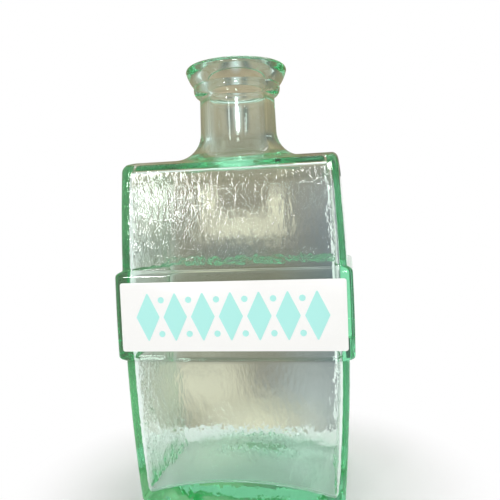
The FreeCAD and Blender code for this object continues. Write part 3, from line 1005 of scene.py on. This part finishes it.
def add_floor():
    """A pale floor that keeps the shadow near the bottle and turns white further out."""
    half = FLOOR_HALF
    under = -FLOOR_DROP
    corners = [(-half, -half, under), (half, -half, under), (half, half, under), (-half, half, under)]
    floor = mesh_object("floor", corners, [(0, 1, 2, 3)])
    material, maker, output = new_material("pale_floor")
    place = maker.node("ShaderNodeTexCoord").outputs["Object"]
    away = maker.node("ShaderNodeVectorMath", {"operation": "LENGTH"})
    maker.feed(away, 0, place)
    far = maker.node(
        "ShaderNodeMapRange", {"interpolation_type": "SMOOTHSTEP"},
        Value=away.outputs["Value"], From_Min=FLOOR_FADE_FROM, From_Max=FLOOR_FADE_TO,
    )
    diffuse = maker.node("ShaderNodeBsdfDiffuse", Color=(0.90, 0.90, 0.89, 1.0))
    white = maker.node("ShaderNodeEmission", Color=(1.0, 1.0, 1.0, 1.0), Strength=1.0)
    mix = maker.node("ShaderNodeMixShader", Fac=maker.math("MULTIPLY", far.outputs[0], seen_directly(maker)))
    maker.feed(mix, 1, diffuse.outputs[0])
    maker.feed(mix, 2, white.outputs[0])
    maker.tree.links.new(mix.outputs[0], output.inputs["Surface"])
    floor.data.materials.append(material)


def paint_light_patch(maker, place, shade, x, z, wide, high, tone):
    """Turns the card's shade to another tone in a soft oval patch: a painted highlight, glow or shade that
    the glass shows.
    """
    apart = maker.node("ShaderNodeVectorMath", {"operation": "SUBTRACT"})
    maker.feed(apart, 0, place)
    maker.feed(apart, 1, (x, 0.0, z))
    scaled = maker.node("ShaderNodeVectorMath", {"operation": "MULTIPLY"})
    maker.feed(scaled, 0, apart.outputs[0])
    maker.feed(scaled, 1, (1.0 / wide, 0.0, 1.0 / high))
    away = maker.node("ShaderNodeVectorMath", {"operation": "LENGTH"})
    maker.feed(away, 0, scaled.outputs[0])
    spot = maker.node(
        "ShaderNodeMapRange", {"interpolation_type": "SMOOTHSTEP"},
        Value=away.outputs["Value"], From_Min=0.0, From_Max=1.0, To_Min=1.0, To_Max=0.0,
    )
    mix = maker.node("ShaderNodeMix", {"data_type": "RGBA"})
    maker.feed(mix, "Factor", spot.outputs[0])
    maker.feed(mix, 6, shade)
    maker.feed(mix, 7, tone)
    return mix.outputs[2]


def add_painted_reflection_card():
    """A warm curved card close behind the bottle that glows with painted reflections: the light and shade of
    a room, painted on it. Only the glass shows it, as it would show a room.
    """
    vertices, faces = [], []
    for first, last, low, high in CARD_STRIPS:
        turns = np.radians(np.arange(first, last + 1))
        base = len(vertices)
        for x, y in zip(CARD_REACH * np.sin(turns), CARD_BACK + CARD_BOW * np.cos(turns)):
            vertices += [(x, y, low), (x, y, high)]
        for corner in range(base, len(vertices) - 2, 2):
            faces.append((corner, corner + 1, corner + 3, corner + 2))
    card = mesh_object("painted_reflection_card", vertices, faces)
    material, maker, output = new_material("painted_reflection_colours")
    place = maker.node("ShaderNodeTexCoord").outputs["Object"]
    # Painted light across the card: pale on the left, beige in the middle and dark blue-grey on the right.
    across = maker.node("ShaderNodeSeparateXYZ", Vector=place).outputs["X"]
    share = maker.node("ShaderNodeMapRange", Value=across, From_Min=CARD_RAMP_FROM, From_Max=CARD_RAMP_TO)
    ramp = maker.node("ShaderNodeValToRGB", Fac=share.outputs[0])
    stops = ramp.color_ramp.elements
    stops[0].color = (0.85, 0.87, 0.83, 1.0)
    stops[1].color = (0.16, 0.20, 0.25, 1.0)
    for position, tone in ((0.32, (0.29, 0.24, 0.16, 1.0)), (0.72, (0.24, 0.19, 0.12, 1.0))):
        stops.new(position).color = tone
    shade = ramp.outputs[0]
    for patch in PAINTED_LIGHT_PATCHES:
        shade = paint_light_patch(maker, place, shade, *patch)
    # Noise mottles the painted glow.
    clouds = maker.node("ShaderNodeTexNoise", Vector=place, Scale=26.0, Detail=2.0)
    uneven = maker.node("ShaderNodeMapRange", Value=clouds.outputs[0], To_Min=0.45, To_Max=1.0)
    # The painted colours glow as emission, though the card is no lamp; after a diffuse bounce it turns
    # transparent, so it lights nothing.
    glowing = maker.node("ShaderNodeEmission", Color=shade, Strength=uneven.outputs[0])
    lit_before = maker.node("ShaderNodeLightPath").outputs["Diffuse Depth"]
    unseen = maker.node("ShaderNodeBsdfTransparent")
    mix = maker.node("ShaderNodeMixShader", Fac=maker.math("MINIMUM", lit_before, 1.0))
    maker.feed(mix, 1, glowing.outputs[0])
    maker.feed(mix, 2, unseen.outputs[0])
    maker.tree.links.new(mix.outputs[0], output.inputs["Surface"])
    card.data.materials.append(material)
    card.visible_camera = False
    card.visible_diffuse = False
    card.visible_shadow = False


def add_lamp(name, place, width, height, power):
    """A rectangular lamp that faces the bottle's middle."""
    lamp = bpy.data.lights.new(name, "AREA")
    lamp.shape = "RECTANGLE"
    lamp.size = width
    lamp.size_y = height
    lamp.energy = power
    lamp_object = bpy.data.objects.new(name, lamp)
    way = Vector(LAMP_AIM) - Vector(place)
    lamp_object.matrix_world = Matrix.Translation(place) @ way.to_track_quat("-Z", "Y").to_matrix().to_4x4()
    bpy.context.scene.collection.objects.link(lamp_object)


def add_camera(stage):
    data = bpy.data.cameras.new("camera")
    data.sensor_width = 36.0
    data.lens = stage.lens
    camera = bpy.data.objects.new("camera", data)
    turn = (
        Matrix.Rotation(stage.camera_heading, 4, "Z")
        @ Matrix.Rotation(math.pi / 2 - stage.camera_pitch, 4, "X")
        @ Matrix.Rotation(-stage.camera_roll, 4, "Z")
    )
    camera.matrix_world = Matrix.Translation(stage.camera_place) @ turn
    bpy.context.scene.collection.objects.link(camera)
    bpy.context.scene.camera = camera


class BOTTLE_OT_stage(bpy.types.Operator):
    """Set the floor, the white background, the lamps and the camera"""

    bl_idname = "bottle.stage"
    bl_label = "Stage"

    def execute(self, context):
        context.scene.view_settings.view_transform = "Standard"
        context.scene.cycles.max_bounces = LIGHT_BOUNCES
        context.scene.cycles.transmission_bounces = LIGHT_BOUNCES
        context.scene.cycles.glossy_bounces = LIGHT_BOUNCES
        context.scene.cycles.blur_glossy = GLOSS_BLUR
        add_world()
        add_floor()
        add_painted_reflection_card()
        for lamp in LAMPS:
            add_lamp(*lamp)
        add_camera(context.scene.bottle_stage)
        return {"FINISHED"}


class BOTTLE_PT_sidebar(bpy.types.Panel):
    """Lists the bottle's pieces and sizes"""

    bl_idname = "BOTTLE_PT_sidebar"
    bl_label = "Glass Bottle"
    bl_space_type = "VIEW_3D"
    bl_region_type = "UI"
    bl_category = "Bottle"

    def draw(self, context):
        for operator in OPERATORS:
            self.layout.operator(operator.bl_idname)
        for name, _ in SETTINGS:
            group = getattr(context.scene, name)
            box = self.layout.box()
            for key in group.__annotations__:
                box.prop(group, key)


OPERATORS = (BOTTLE_OT_glass, BOTTLE_OT_label_ground, BOTTLE_OT_lozenges, BOTTLE_OT_dots, BOTTLE_OT_stage)
SETTINGS = (
    ("bottle_sizes", BottleSizes),
    ("bottle_label", LabelSizes),
    ("bottle_finish", FinishColours),
    ("bottle_stage", StageSettings),
)


def register():
    for name, group in SETTINGS:
        bpy.utils.register_class(group)
        setattr(bpy.types.Scene, name, PointerProperty(type=group))
    for cls in (*OPERATORS, BOTTLE_PT_sidebar):
        bpy.utils.register_class(cls)


def unregister():
    for cls in (BOTTLE_PT_sidebar, *reversed(OPERATORS)):
        bpy.utils.unregister_class(cls)
    for name, group in reversed(SETTINGS):
        delattr(bpy.types.Scene, name)
        bpy.utils.unregister_class(group)


def main():
    register()
    bpy.ops.bottle.glass()
    bpy.ops.bottle.label_ground()
    bpy.ops.bottle.lozenges()
    bpy.ops.bottle.dots()
    bpy.ops.bottle.stage()


if __name__ == "__main__":
    main()
